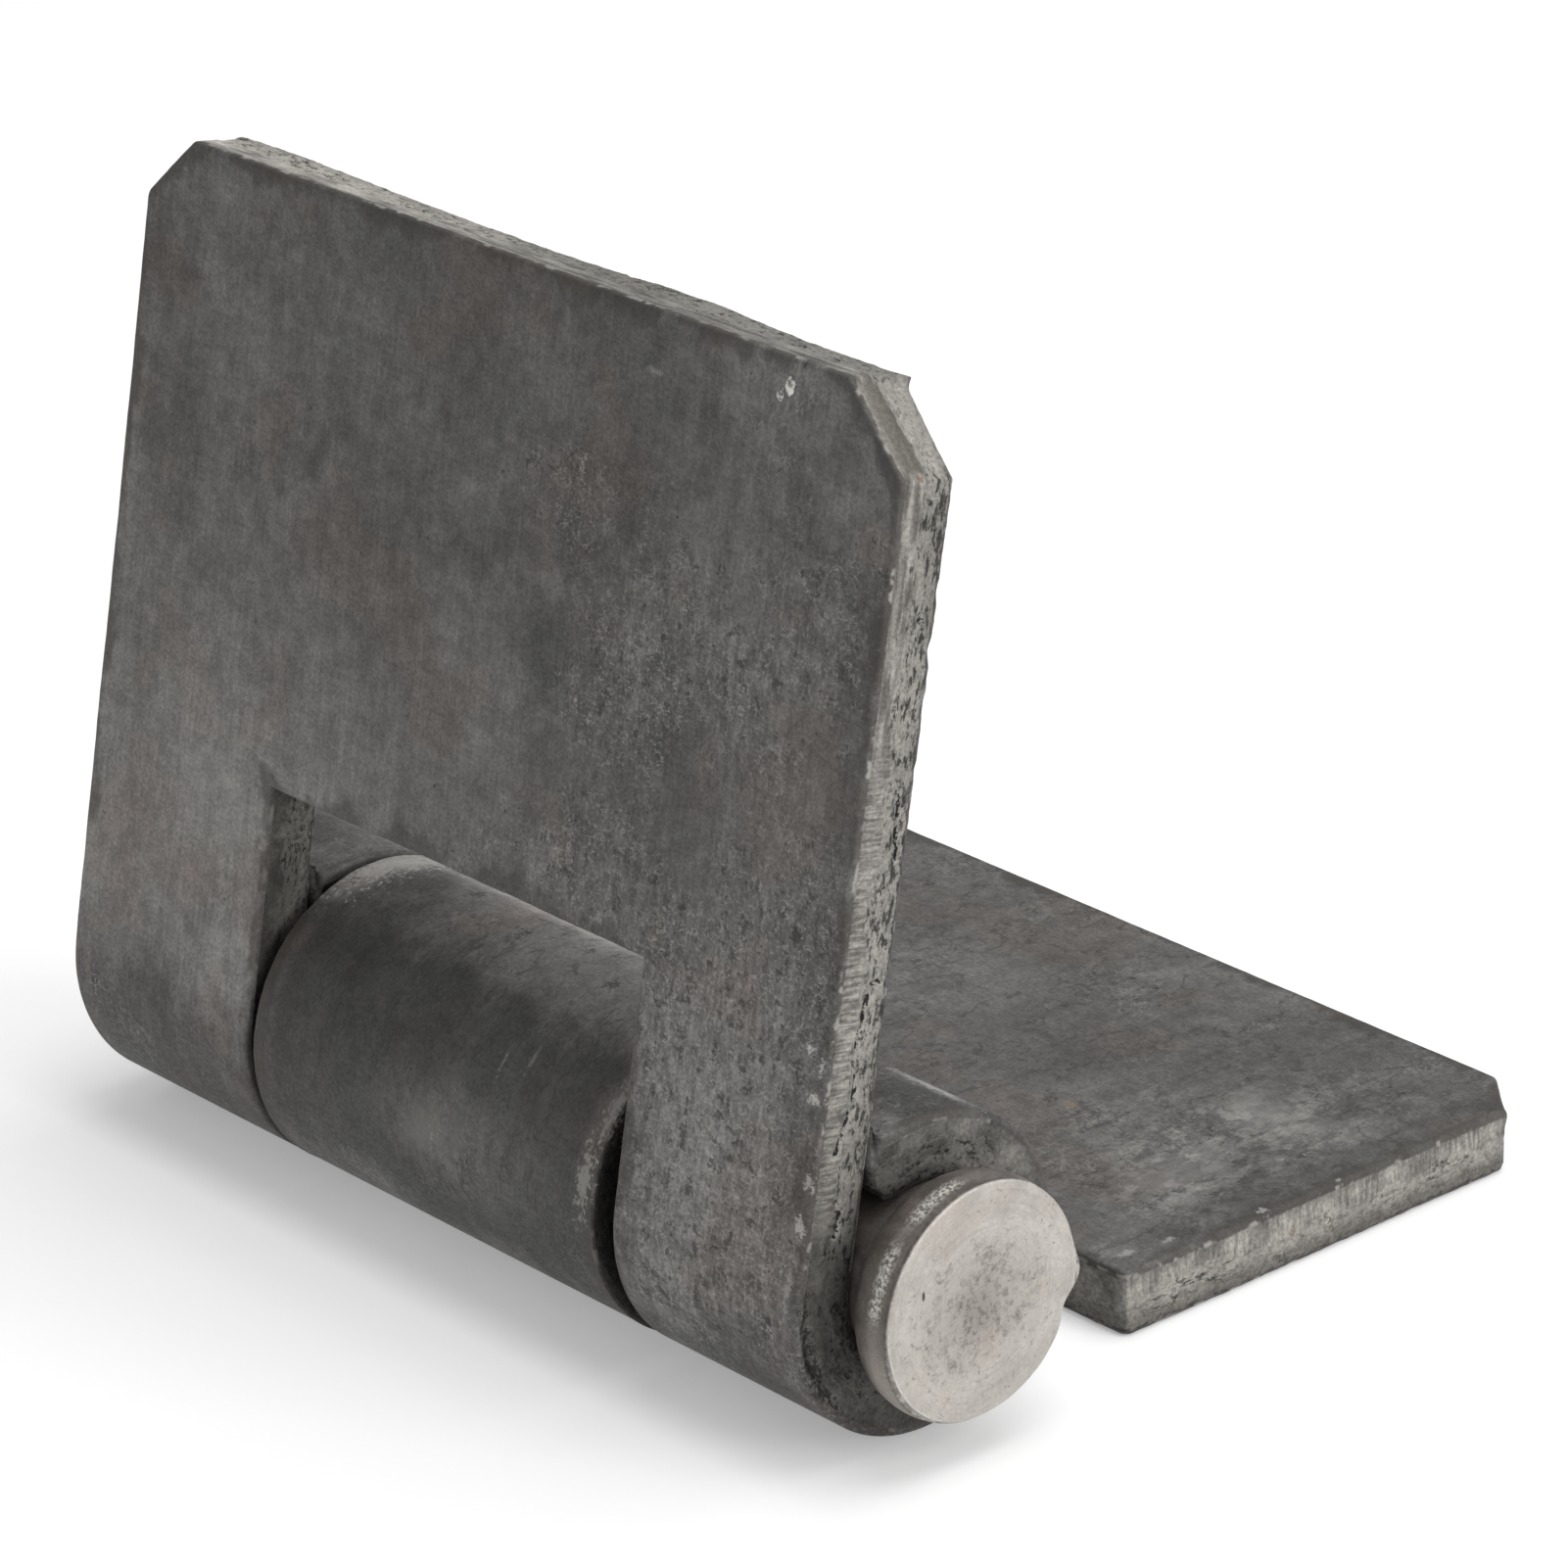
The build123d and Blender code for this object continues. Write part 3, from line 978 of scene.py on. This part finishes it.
# painted shadow of the burr: a dark line along the far edge of the wall
burr_shadow_line = leaf_finish.sum("ADD", layer_depth, leaf_finish.patch(chips, 0.3, 0.7, 0.25, -0.25))
burr_shadow_edge = leaf_finish.patch(burr_shadow_line, plate * 0.9, plate * 0.98, top=0.8)
burr_shadow_edge = leaf_finish.product(burr_shadow_edge, leaf_finish.patch(outer_wall, 0.0, 1.0, 1.0, 0.3))
wall_colour = leaf_finish.over(burr_shadow_edge, wall_colour, shade(48, 46, 44))
leaf_finish.tell("dashes and a dark far edge")

# %% The cropped corner, and lighter and darker walls
crop_line = leaf_finish.sum("ADD", layer_depth, leaf_finish.patch(smears, 0.3, 0.7, -0.3, 0.3))
crop_colour = leaf_finish.over(
    leaf_finish.patch(crop_line, plate * 0.49, plate * 0.53), shade(118, 114, 107), shade(162, 159, 153)
)
crop_colour = leaf_finish.times(crop_colour, leaf_finish.patch(strokes, 0.3, 0.7, 0.93, 1.07))
crop_specks = leaf_finish.product(
    leaf_finish.patch(chips, 0.38, 0.46, 0.7, 0.0), leaf_finish.patch(layer_depth, 2.0, 2.6)
)
crop_colour = leaf_finish.over(crop_specks, crop_colour, shade(84, 81, 77))
crop_rim = leaf_finish.patch(layer_depth, 0.75, 0.95, 0.35, 0.0)
crop_colour = leaf_finish.over(crop_rim, crop_colour, shade(160, 157, 151))
on_crop = leaf_finish.patch(from_cropped, 0.85, 1.05, 1.0, 0.0)
wall_colour = leaf_finish.over(on_crop, wall_colour, crop_colour)
standing_walls = [
    ((-28, leaf_reach, 1.8), (40, 3, 6), 1.65, 0.2),
    ((4, leaf_reach, 2.8), (14, 3, 3), 0.86, 0.2),
    ((half, 46, 2.6), (3, 10, 3), 0.88, 0.2),
    ((notch_left, 12, 2), (3, 10, 9), 1.3, 0.6),
]
lying_walls = [((half, 38, 2.6), (2, 40, 1.9), 1.12, 0.2)]
wall_gain = 1.0
for centre, size, gain, start in standing_walls + on_lying_leaf(lying_walls):
    away = leaf_finish.away_from(sheet, [(centre, size)])
    wall_gain = leaf_finish.product(wall_gain, leaf_finish.patch(away, start, 1.05, gain, 1.0))
wall_colour = leaf_finish.times(wall_colour, wall_gain)
leaf_finish.tell("a cropped corner")

# %% Dull walls with painted shade, and long cracks
# dull steel on the rolled walls, made darker still as painted shade on the ends that face each other in the
# gaps and near the pin
dulled_and_shaded = leaf_finish.over(leaf_finish.patch(chips, 0.35, 0.6), shade(32, 31, 30), shade(60, 58, 56))
wall_colour = leaf_finish.over(fresh_unshaded_cut, dulled_and_shaded, wall_colour)
wall_colour = leaf_finish.times(wall_colour, leaf_finish.patch(grit, 0.3, 0.7, 0.8, 1.2))
crack_away = leaf_finish.kept("crack_away")
crack_away = leaf_finish.sum("ADD", crack_away, leaf_finish.patch(chips, 0.3, 0.7, 0.22, -0.22))
flake_lip = leaf_finish.patch(crack_away, 0.15, 0.45, 0.55, 0.0)
wall_colour = leaf_finish.over(flake_lip, wall_colour, shade(178, 175, 169))
long_cracks = leaf_finish.patch(crack_away, 0.06, 0.15, 1.0, 0.0)
wall_colour = leaf_finish.over(long_cracks, wall_colour, shade(34, 32, 31))
leaf_finish.tell("dull walls and long cracks")

# %% Scale and walls together, with worn edges and painted edge highlights
wander = leaf_finish.sum("ADD", cut_distance, leaf_finish.patch(chips, 0.3, 0.7, -0.06, 0.06))
wander = leaf_finish.sum("ADD", wander, leaf_finish.patch(from_cropped, 0.8, 1.05, 0.12, 0.0))
bare = leaf_finish.patch(wander, 0.0, 0.22)
leaf_colour = leaf_finish.over(bare, scale_colour, wall_colour)
# worn bright steel along the cut edges, partly a painted highlight where an edge catches the light
worn_edge_and_glint = leaf_finish.product(
    leaf_finish.patch(wander, -0.25, -0.05),
    leaf_finish.patch(wander, 0.05, 0.25, 1.0, 0.0),
    leaf_finish.patch(breaks, 0.48, 0.58),
    leaf_finish.patch(smears, 0.46, 0.58),
    leaf_finish.patch(fresh_unshaded_cut, 0.0, 1.0, 0.2, 0.6),
)
leaf_colour = leaf_finish.over(worn_edge_and_glint, leaf_colour, shade(190, 187, 181))
leaf_finish.tell("scale, walls and worn edges")

# %% Rubbed places, painted highlights and spots of rust
ragged = leaf_finish.sum(
    "ADD", leaf_finish.patch(chips, 0.3, 0.7, -0.5, 0.5), leaf_finish.patch(grit, 0.35, 0.65, -0.5, 0.5)
)
lying_marks = [
    # painted highlights on the middle knuckle's top: a bright crescent at its left end and bright strips
    # along it, in the first three rows
    (0.75, (178, 176, 172), [((-16.6, -29.2, 0), (2.8, 4.6, 2))]),
    (0.6, (172, 170, 166), [((-11.5, -31.6, 0), (6.0, 1.2, 2)), ((1.5, -31.6, 0), (3.6, 1.1, 2))]),
    (0.4, (164, 162, 158), [((12.5, -31.4, 0), (3.0, 0.7, 2))]),
    (0.5, (168, 165, 159), [((18.0, -20.2, 0), (0.7, 2.2, 1.5))]),
    (0.35, (138, 133, 127), [((0.5, -14.5, 0), (4.2, 2.2, 2))]),
    (0.8, (56, 54, 52), [
        ((-8.5, -29.3, 0), (0.6, 0.7, 2)),
        ((-1.0, -27.6, 0), (0.5, 0.7, 2)),
        ((4.2, -28.8, 0), (0.4, 0.5, 2)),
        ((9.4, -27.0, 0), (0.6, 0.7, 2)),
    ]),
    (0.4, (152, 150, 147), [((27.6, 43, plate), (3.6, 2.6, 2))]),
    (0.35, (152, 150, 147), [((29.5, 31, plate), (2.8, 4.4, 2))]),
    (0.65, (168, 165, 159), [((17.5, -16.2, 0), (0.8, 2.6, 1.5))]),
    (0.55, (150, 148, 144), [((6.9, -19.9, 0), (0.14, 1.1, 1))]),
    (0.45, (150, 148, 144), [((9.2, -20.8, 0), (0.14, 0.9, 1))]),
    (0.55, (150, 126, 92), [((16.8, 33.7, plate), (0.5, 0.6, 1))]),
    (0.6, (136, 98, 76), [((38.1, 33.9, 2.45), (1, 0.35, 0.35))]),
    (0.7, (178, 176, 173), [
        ((37.6, 31.7, plate), (0.4, 0.5, 1)),
        ((37.8, 38.7, plate), (0.25, 0.3, 1)),
        ((36.3, 23.9, plate), (0.4, 0.7, 1)),
        ((35.8, 20.6, plate), (0.4, 0.8, 1)),
    ]),
]
standing_marks = [
    (0.6, (136, 100, 70), [((38.1, 53.3, 1.66), (1, 0.35, 0.3))]),
    # painted highlight along the top of the right knuckle's curl
    (0.6, (196, 194, 190), [((33.0, -39.2, 0), (4.2, 0.9, 1.5))]),
    (0.5, (160, 158, 152), [((14.9, 54.6, 0), (0.8, 0.22, 1))]),
    (0.85, (204, 201, 196), [((36.4, 16.3, 0), (0.45, 0.4, 1)), ((37.2, 13.2, 0), (0.7, 0.4, 1))]),
    (0.8, (196, 193, 188), [((37.6, 15.4, 0), (0.3, 0.8, 1))]),
    (0.7, (190, 187, 182), [((37.6, 7.8, 0), (0.45, 0.7, 1))]),
    (0.75, (196, 193, 188), [((37.4, 4.6, 0), (0.55, 0.9, 1))]),
    (0.6, (176, 173, 168), [((37.0, 0.4, 0), (0.4, 1.6, 1))]),
    (0.9, (34, 33, 32), [((38.1, -4.5, 0.75), (1.5, 4.2, 0.55))]),
]
marks = [(cover, colour, on_lying_leaf(spots)) for cover, colour, spots in lying_marks] + standing_marks
for cover, colour, spots in marks:
    away = leaf_finish.away_from(sheet, spots, ragged)
    covered = leaf_finish.patch(away, 0.3, 1.0, cover, 0.0)
    leaf_colour = leaf_finish.over(covered, leaf_colour, shade(*colour))
print(len(marks), "colours of rubbed places and spots of rust")

# %% Relief and sheen of the leaves
scale_relief = leaf_finish.product(grit, 0.3)
bare_relief = leaf_finish.product(leaf_finish.patch(cut_distance, 0.0, 0.22), chips)
leaf_finish.plug(leaf_finish.surface.inputs["Base Color"], leaf_colour)
leaf_finish.plug(leaf_finish.surface.inputs["Metallic"], leaf_finish.patch(bare, 0, 1, 0.3, 0.6))
leaf_finish.plug(leaf_finish.surface.inputs["Roughness"], leaf_finish.patch(grit, 0.3, 0.7, 0.66, 0.5))
leaf_finish.relief(leaf_finish.sum("ADD", scale_relief, bare_relief), 0.08)
for leaf in (swinging_leaf, lying_leaf):
    leaf.data.materials.append(leaf_finish.material)
leaf_finish.tell("relief and sheen")

# %% [markdown]
# ## Bright steel on the pin
#
# The head was pressed bright between dies. Its face is a pale warm grey with faint strokes round
# the middle and browner patches near the centre. A thin painted highlight runs where the face turns
# into the side, with a broken dark line just outside it, and the side is darker, with a strip of
# painted sheen and painted glints. Most of that runs round the pin, so the recipe works from the
# distance to the axis and the direction across it, from Object coordinates.

# %% The face of the head
pin_finish = Finish("pin_steel")
place = pin_finish.add("TexCoord", {}).outputs["Object"]
from_axis = pin_finish.add("VectorMath", {0: place, 1: (0, *pin_axis.yz)}, operation="SUBTRACT").outputs[0]
in_mm = pin_finish.add("VectorMath", {0: from_axis, 1: (1 / MM,) * 3}, operation="MULTIPLY").outputs[0]
across = pin_finish.add("VectorMath", {0: in_mm, 1: (0, 1, 1)}, operation="MULTIPLY").outputs[0]
radius = pin_finish.add("VectorMath", {0: across}, operation="LENGTH").outputs["Value"]
along = pin_finish.add("SeparateXYZ", {0: in_mm}).outputs[0]
way = pin_finish.add("VectorMath", {0: across}, operation="NORMALIZE").outputs[0]
ring_place = pin_finish.add("CombineXYZ", {0: pin_finish.product(radius, 3.0)}).outputs[0]
ring_place = pin_finish.add("VectorMath", {0: ring_place, 1: way}, operation="ADD").outputs[0]

arcs = pin_finish.blotches(ring_place, 1.3, detail=4, seed=1)
cloud = pin_finish.blotches(in_mm, 0.3, detail=6, rough=0.66, seed=2)
blush = pin_finish.blotches(in_mm, 0.22, detail=5, seed=6)
pocks = pin_finish.blotches(in_mm, 2.0, detail=5, rough=0.72, seed=3)
dust = pin_finish.blotches(in_mm, 4.0, detail=3, rough=0.7, seed=4)
scratch_field = pin_finish.blotches(in_mm, 0.7, detail=3, seed=5)
scratches = pin_finish.product(pin_finish.threads(scratch_field, 0.016), pin_finish.patch(pocks, 0.5, 0.6))

steel = pin_finish.over(pin_finish.patch(cloud, 0.32, 0.68), shade(180, 175, 168), shade(206, 202, 195))
steel = pin_finish.over(pin_finish.patch(blush, 0.5, 0.7, top=0.4), steel, shade(190, 178, 170))
steel = pin_finish.over(pin_finish.patch(arcs, 0.45, 0.7, top=0.24), steel, shade(146, 139, 131))
cloudy = pin_finish.patch(cloud, 0.3, 0.7, 0.4, -0.4)
centre = pin_finish.away_from(across, [((0, -0.3, -0.4), (1, 5.6, 4.6))], cloudy)
steel = pin_finish.over(pin_finish.patch(centre, 0.0, 1.1, 0.8, 0.0), steel, shade(144, 138, 131))
rubbed = pin_finish.patch(centre, 0.1, 1.2, 0.7, 0.05)
rubbed = pin_finish.product(pin_finish.patch(pocks, 0.48, 0.6), rubbed)
steel = pin_finish.over(rubbed, steel, shade(108, 103, 98))
steel = pin_finish.over(pin_finish.product(scratches, 0.7), steel, shade(106, 99, 93))
pit = pin_finish.away_from(across, [((0, -5.1, 2.1), (1, 0.16, 0.4))])
steel = pin_finish.over(pin_finish.patch(pit, 0.6, 1.0, 0.9, 0.0), steel, shade(40, 37, 35))
steel = pin_finish.times(steel, pin_finish.patch(dust, 0.3, 0.7, 0.93, 1.07))
pin_finish.tell("the face of the head")

# %% The side of the head, with a painted sheen and painted glints
def facing(direction):
    """How far a place round the pin faces a direction: 1 when it does, and 0 square to it."""
    return pin_finish.add("VectorMath", {0: way, 1: direction}, operation="DOT_PRODUCT").outputs["Value"]


side = pin_finish.patch(along, head_face - 0.26, head_face - 0.12, 1.0, 0.0)
outside = pin_finish.patch(radius, head_radius - 1.4, head_radius - 1.1)
behind = pin_finish.patch(along, head_face - 1, head_face - 0.8, 1.0, 0.0)
not_face = pin_finish.sum("MAXIMUM", pin_finish.product(side, outside), behind)
side_colour = pin_finish.over(pin_finish.patch(cloud, 0.35, 0.65), shade(96, 90, 85), shade(128, 121, 115))
# painted sheen: a soft bright strip on the side
sheen_strip = pin_finish.product(
    pin_finish.patch(along, head_face - 2.2, head_face - 1.5),
    pin_finish.patch(along, head_face - 1.2, head_face - 0.6, 1.0, 0.0),
    pin_finish.patch(facing((0, -0.85, 0.53)), 0.2, 0.7),
)
side_colour = pin_finish.over(pin_finish.product(sheen_strip, 0.35), side_colour, shade(166, 160, 153))
# painted glints: bright speckles in two clusters on the strip
for direction in [(0, -0.35, 0.93), (0, -0.91, 0.42)]:
    near = pin_finish.patch(facing(direction), 0.93, 0.985)
    glint_speckles = pin_finish.product(sheen_strip, near, pin_finish.patch(dust, 0.44, 0.56))
    side_colour = pin_finish.over(glint_speckles, side_colour, shade(218, 214, 208))
low_left = pin_finish.patch(facing((0, -0.72, -0.7)), 0.7, 0.97, 0.0, 0.7)
pale = pin_finish.product(low_left, pin_finish.patch(along, head_face - 3.0, head_face - 1.6))
side_colour = pin_finish.over(pale, side_colour, shade(170, 163, 155))
side_colour = pin_finish.times(side_colour, pin_finish.patch(dust, 0.3, 0.7, 0.86, 1.14))
steel = pin_finish.over(not_face, steel, side_colour)
pin_finish.tell("the side of the head")

# %% The painted highlight on the rim, the relief and the sheen of the pin
# painted highlight: a thin broken bright line where the face turns into the side
rim = pin_finish.product(
    pin_finish.patch(radius, head_radius - 0.34, head_radius - 0.28),
    pin_finish.patch(radius, head_radius - 0.24, head_radius - 0.16, 1.0, 0.0),
    pin_finish.patch(along, head_face - 0.6, head_face - 0.4),
    pin_finish.patch(pocks, 0.42, 0.56, 0.0, 0.5),
)
steel = pin_finish.over(rim, steel, shade(228, 225, 220))
# a broken dark line just outside the bright rim
dark_ring = pin_finish.product(
    pin_finish.patch(radius, head_radius - 0.2, head_radius - 0.14),
    pin_finish.patch(along, head_face - 0.5, head_face - 0.35),
    pin_finish.patch(pocks, 0.4, 0.55, 0.1, 0.6),
)
steel = pin_finish.over(dark_ring, steel, shade(70, 65, 60))
pin_finish.plug(pin_finish.surface.inputs["Base Color"], steel)
pin_finish.surface.inputs["Metallic"].default_value = 0.4
pin_finish.plug(pin_finish.surface.inputs["Roughness"], pin_finish.patch(cloud, 0.3, 0.7, 0.46, 0.62))
pin_relief = pin_finish.sum("ADD", pin_finish.product(arcs, 0.3), pin_finish.product(pocks, 0.6))
pin_finish.relief(pin_finish.sum("SUBTRACT", pin_relief, pin_finish.product(scratches, 0.2)), 0.05)
headed_pin.data.materials.append(pin_finish.material)
pin_finish.tell("rim and relief")

# %% Bare metal of the chip
chip_finish = Finish("bare_chip")
place = chip_finish.add("TexCoord", {}).outputs["Object"]
in_mm = chip_finish.add("VectorMath", {0: place, 1: (1 / MM,) * 3}, operation="MULTIPLY").outputs[0]
glints = chip_finish.blotches(in_mm, 2.5, detail=4, rough=0.7)
# painted glints: patches of the chip's colour made bright
lit = chip_finish.patch(glints, 0.4, 0.6)
chip_colour = chip_finish.over(lit, shade(120, 117, 112), shade(226, 223, 218))
chip_finish.plug(chip_finish.surface.inputs["Base Color"], chip_colour)
chip_finish.surface.inputs["Metallic"].default_value = 0.5
chip_finish.plug(chip_finish.surface.inputs["Roughness"], chip_finish.patch(glints, 0.3, 0.7, 0.5, 0.3))
chip_finish.relief(glints, 0.05)
pressed_chip.data.materials.append(chip_finish.material)
chip_finish.tell("bare metal")

# %% [markdown]
# ## Floor and light
#
# A product photograph of this kind is taken on white, under broad soft light. The floor is one
# large sheet just under the hinge, lifted to white for the camera and for reflections by a little
# glow of its own, so it still takes the shadow. One wide lamp hangs overhead, another one stands to
# the right, and the white world does the rest.

# %% Stage
floor_half = 4.0
floor_gap = 0.0002  # under the hinge, so that the two never touch

scene = bpy.context.scene
scene.view_settings.view_transform = "Standard"
scene.cycles.diffuse_bounces = 2  # further bounces add nothing that shows on dark steel
scene.cycles.glossy_bounces = 2

floor_finish = Finish("white_floor")
rays = floor_finish.add("LightPath", {})
seen = floor_finish.sum("MAXIMUM", rays.outputs["Is Camera Ray"], rays.outputs["Is Glossy Ray"])
seen = floor_finish.sum("MAXIMUM", seen, rays.outputs["Is Transmission Ray"])
floor_finish.surface.inputs["Base Color"].default_value = (0.85, 0.85, 0.85, 1)
floor_finish.surface.inputs["Roughness"].default_value = 0.9
floor_finish.surface.inputs["Specular IOR Level"].default_value = 0.0
floor_finish.surface.inputs["Emission Color"].default_value = (1, 1, 1, 1)
floor_finish.plug(floor_finish.surface.inputs["Emission Strength"], floor_finish.sum("MULTIPLY", seen, 0.3))

bm = bmesh.new()
bmesh.ops.create_grid(bm, x_segments=1, y_segments=1, size=floor_half)
bmesh.ops.translate(bm, verts=bm.verts[:], vec=(0, 0, cad_box[0].z - floor_gap))
floor = finished_object("floor", bm)
floor.data.materials.append(floor_finish.material)

# %% World and lamps
world = bpy.data.worlds.new("white_room")
world.use_nodes = True
world.node_tree.nodes["Background"].inputs["Color"].default_value = (1, 1, 1, 1)
world.node_tree.nodes["Background"].inputs["Strength"].default_value = 0.4
scene.world = world


def soft_lamp(name, place, size, power):
    """A square area lamp that looks at the hinge."""
    lamp = bpy.data.lights.new(name, "AREA")
    lamp.size = size
    lamp.energy = power
    made = bpy.data.objects.new(name, lamp)
    made.location = place
    made.rotation_euler = (pin_axis - Vector(place)).to_track_quat("-Z", "Y").to_euler()
    scene.collection.objects.link(made)
    print(name, "lamp of", power, "W")


soft_lamp("overhead", (0.1, 0.15, 0.9), 0.7, 4.0)
soft_lamp("right_softbox", (0.8, 0.15, 0.45), 0.6, 3.5)
